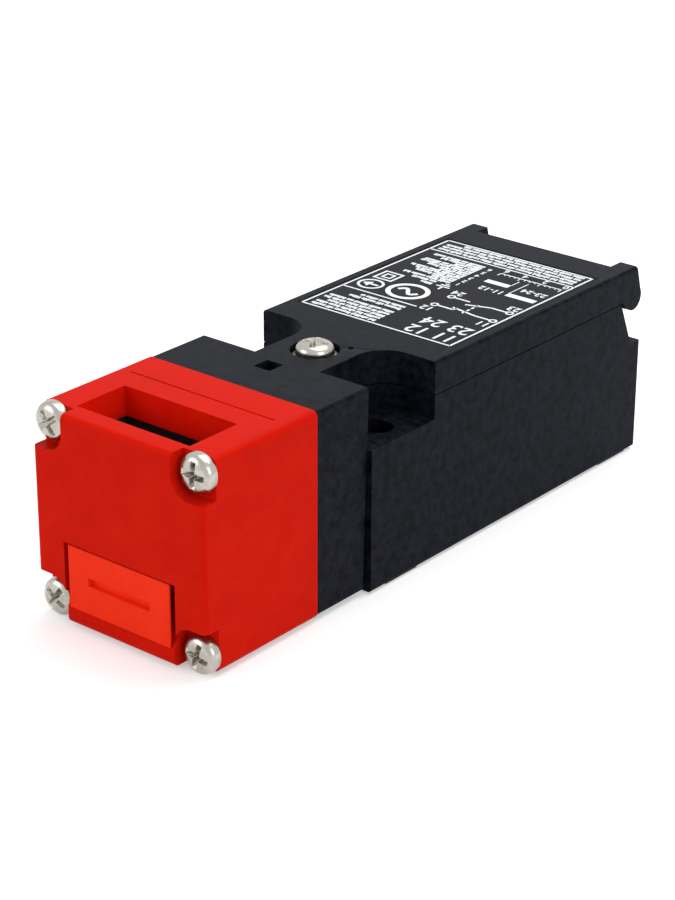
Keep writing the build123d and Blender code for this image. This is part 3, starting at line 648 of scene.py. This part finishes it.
# Symbols: alternating current in a ring, direct opening, double insulation and earth.
wave_x, wave_y = 4.3, 4.2
ink_ring(wave_x, wave_y, 3.0, 0.80, 0.92)
wave = [(wave_x - 1.8 + i * 0.257, wave_y + 0.85 * sin(i * pi / 7)) for i in range(15)]
ink_line(wave, 0.62)
arrow_x, arrow_y = 10.4, 5.2
ink_ring(arrow_x, arrow_y, 1.9, 0.42, 0.92)
ink_line([(arrow_x - 1.3, arrow_y), (arrow_x + 0.05, arrow_y)], 0.42)
ink_shape([(arrow_x + 0.1, arrow_y - 0.9), (arrow_x + 1.4, arrow_y), (arrow_x + 0.1, arrow_y + 0.9)])
square_x, square_y = 10.4, 1.0
for side, width in ((1.55, 0.36), (0.7, 0.32)):
    left, right, low, high = square_x - side, square_x + side, square_y - side, square_y + side
    ink_line([(left, low), (right, low), (right, high), (left, high)], width, closed=True)
earth_x, earth_y = 1.6, -0.6
ink_line([(earth_x, earth_y + 1.2), (earth_x, earth_y)], 0.32)
for bar, reach in enumerate((1.2, 0.8, 0.4)):
    y = earth_y - 0.6 * bar
    ink_line([(earth_x - reach, y), (earth_x + reach, y)], 0.30)

# Small print under the symbols and along the conduit end, with numbered lines between.
ink_rows(3.6, -0.9, 2, 4.6, 1)
upper_widths = (10.8, 8.6, 11.0, 9.4, 10.9, 7.6)
lower_widths = (6.8, 9.6, 5.0, 10.4, 4.9, 9.6)
for row, (upper, lower) in enumerate(zip(upper_widths, lower_widths)):
    y = -3.3 - row * 1.55
    ink_number(str(row + 1), 0.2, y, 1.0)
    ink_rows(1.8, y + 0.4, 1, upper, row * 3)
    ink_rows(1.8, y - 0.4, 1, lower, row * 5 + 2)
ink_rows(-12.3, -13.9, 4, 24.6, 2)
bmesh.ops.recalc_face_normals(print_work, faces=print_work.faces)
print_mesh = bpy.data.meshes.new("label_print")
print_work.to_mesh(print_mesh)
print_work.free()
label_print = in_scene("label_print", print_mesh)
label_ink = moulded_plastic("label_ink", (0.80, 0.83, 0.84), (0.90, 0.93, 0.94), 0.5, 0.1, grain=0.02)
print_mesh.materials.append(label_ink)
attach(label_print, "lid")


# Studio. A plain white floor and a white surround, soft boxes above, in front and at the
# right, and the camera of the photograph, found from the edges of head and body.


def any_ray(nodes, links, ray):
    """Whether a camera, glossy or transmission ray looks at the studio."""
    seen = ray.outputs["Is Camera Ray"]
    for kind in ("Is Glossy Ray", "Is Transmission Ray"):
        either = nodes.new("ShaderNodeMath")
        either.operation = "MAXIMUM"
        links.new(seen, either.inputs[0])
        links.new(ray.outputs[kind], either.inputs[1])
        seen = either.outputs[0]
    return seen


floor_mesh = bpy.data.meshes.new("floor")
floor_reach, floor_level = 3.0, -0.02 * MM
floor_corners = ((-1, -1), (1, -1), (1, 1), (-1, 1))
floor_mesh.from_pydata(
    [(x * floor_reach, y * floor_reach, floor_level) for x, y in floor_corners], [], [(0, 1, 2, 3)])
floor = in_scene("floor", floor_mesh)
floor_white, nodes, links, shader = new_material("floor_white")
shader.inputs["Base Color"].default_value = (0.78, 0.78, 0.78, 1.0)
shader.inputs["Roughness"].default_value = 0.9
shader.inputs["Specular IOR Level"].default_value = 0.0
shader.inputs["Emission Color"].default_value = (1.0, 1.0, 1.0, 1.0)
ray = nodes.new("ShaderNodeLightPath")
glow = nodes.new("ShaderNodeMath")
glow.operation = "MULTIPLY"
glow.inputs[1].default_value = 0.40
links.new(any_ray(nodes, links, ray), glow.inputs[0])
links.new(glow.outputs[0], shader.inputs["Emission Strength"])
floor_mesh.materials.append(floor_white)

world = bpy.data.worlds.new("studio")
world.use_nodes = True
bpy.context.scene.world = world
nodes, links = world.node_tree.nodes, world.node_tree.links
background = nodes["Background"]
background.inputs["Color"].default_value = (1.0, 1.0, 1.0, 1.0)
ray = nodes.new("ShaderNodeLightPath")
strength = nodes.new("ShaderNodeMapRange")
seen = any_ray(nodes, links, ray)
strength.inputs["To Min"].default_value = 0.56
strength.inputs["To Max"].default_value = 1.0
links.new(seen, strength.inputs["Value"])
links.new(strength.outputs["Result"], background.inputs["Strength"])


def soft_box(name, place, target, width, depth, power):
    """A rectangular soft box that faces a point."""
    lamp = bpy.data.lights.new(name, "AREA")
    lamp.shape = "RECTANGLE"
    lamp.size = width
    lamp.size_y = depth
    lamp.energy = power
    box = in_scene(name, lamp)
    box.location = place
    box.rotation_euler = (Vector(target) - Vector(place)).to_track_quat("-Z", "Y").to_euler()


soft_box("top_box", (0.05, 0.20, 0.60), (0.0, 0.0, 0.02), 0.5, 0.5, 2.6)
soft_box("front_box", (-0.40, -0.60, 0.30), (0.0, -0.02, 0.02), 0.4, 0.4, 1.5)
soft_box("right_box", (0.65, -0.15, 0.28), (0.0, 0.0, 0.02), 0.4, 0.4, 1.1)

turn, rise, roll = radians(39.522), radians(24.086), radians(0.20)
distance = 0.35261
aim = Vector((0.0, 0.0055, 0.015))
slide_right, slide_up = 0.000497, 0.001843
photo_height, focal_length = 900.0, 2507.5  # both in pixels of the photograph
sensor = 36.0
back = Vector((sin(turn) * cos(rise), -cos(turn) * cos(rise), sin(rise)))
right = Vector((0, 0, 1)).cross(back).normalized()
up = back.cross(right)
right, up = right * cos(roll) + up * sin(roll), up * cos(roll) - right * sin(roll)
eye = aim + back * distance - right * slide_right - up * slide_up
camera_data = bpy.data.cameras.new("camera")
camera_data.sensor_fit = "VERTICAL"
camera_data.sensor_height = sensor
camera_data.lens = focal_length / photo_height * sensor
camera_data.clip_start = 0.01
camera = in_scene("camera", camera_data)
camera.matrix_world = Matrix.Translation(eye) @ Matrix((right, up, back)).transposed().to_4x4()
bpy.context.scene.camera = camera
bpy.context.scene.view_settings.view_transform = "Standard"
